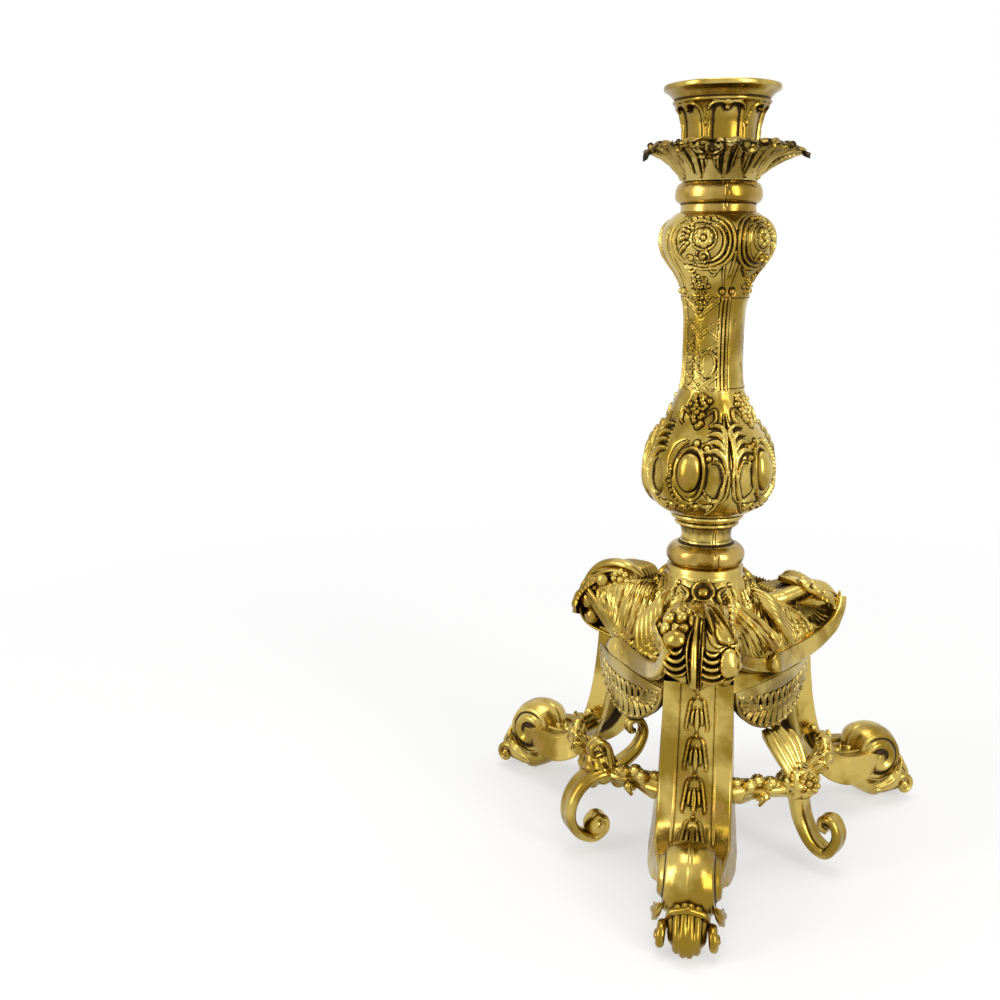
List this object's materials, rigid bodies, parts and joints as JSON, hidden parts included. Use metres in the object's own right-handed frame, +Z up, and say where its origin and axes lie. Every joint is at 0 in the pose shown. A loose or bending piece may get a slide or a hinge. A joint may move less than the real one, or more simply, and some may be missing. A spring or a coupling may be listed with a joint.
{
  "type": "candlestick",
  "caption": "Tall tripod candlestick of gilded cast brass: a baluster stem on a three-cornered base with scroll legs, and a leafy drip pan under the candle cup.",
  "frame": {"origin": "middle of the footprint's box on the table; the stem's axis stands 21.38 mm behind it, at +Y", "axes": "+Z up along the stem, the front leg points along -Y, +X to the right"},
  "size_m": [0.194, 0.1788, 0.305],
  "materials": {
    "gilt": "cast, chased and gilded, polished high spots over a brown patina",
    "gilt_worn": "turned and polished, the gilding worn to a redder brass",
    "gilt_dark": "chased and gilded, darkened in the recesses",
    "steel": "plain, dulled steel"
  },
  "bodies": {
    "root": {"candle_cup": "gilt", "drip_pan": "gilt_dark", "collar_ring": "gilt_worn", "baluster_stem": "gilt", "lower_ring": "gilt_worn", "base_body": "gilt", "leg_front": "gilt", "corner_leaf_front": "gilt", "leg_right": "gilt", "corner_leaf_right": "gilt", "leg_left": "gilt", "corner_leaf_left": "gilt", "apron_right": "gilt_dark", "scroll_bracket_right": "gilt", "apron_back": "gilt_dark", "scroll_bracket_back": "gilt", "apron_left": "gilt_dark", "scroll_bracket_left": "gilt", "tie_rod": "steel", "rod_washer": "steel", "rod_nut": "steel", "leg_screw_front": "steel", "leg_screw_right": "steel", "leg_screw_left": "steel"}
  },
  "joints": []
}
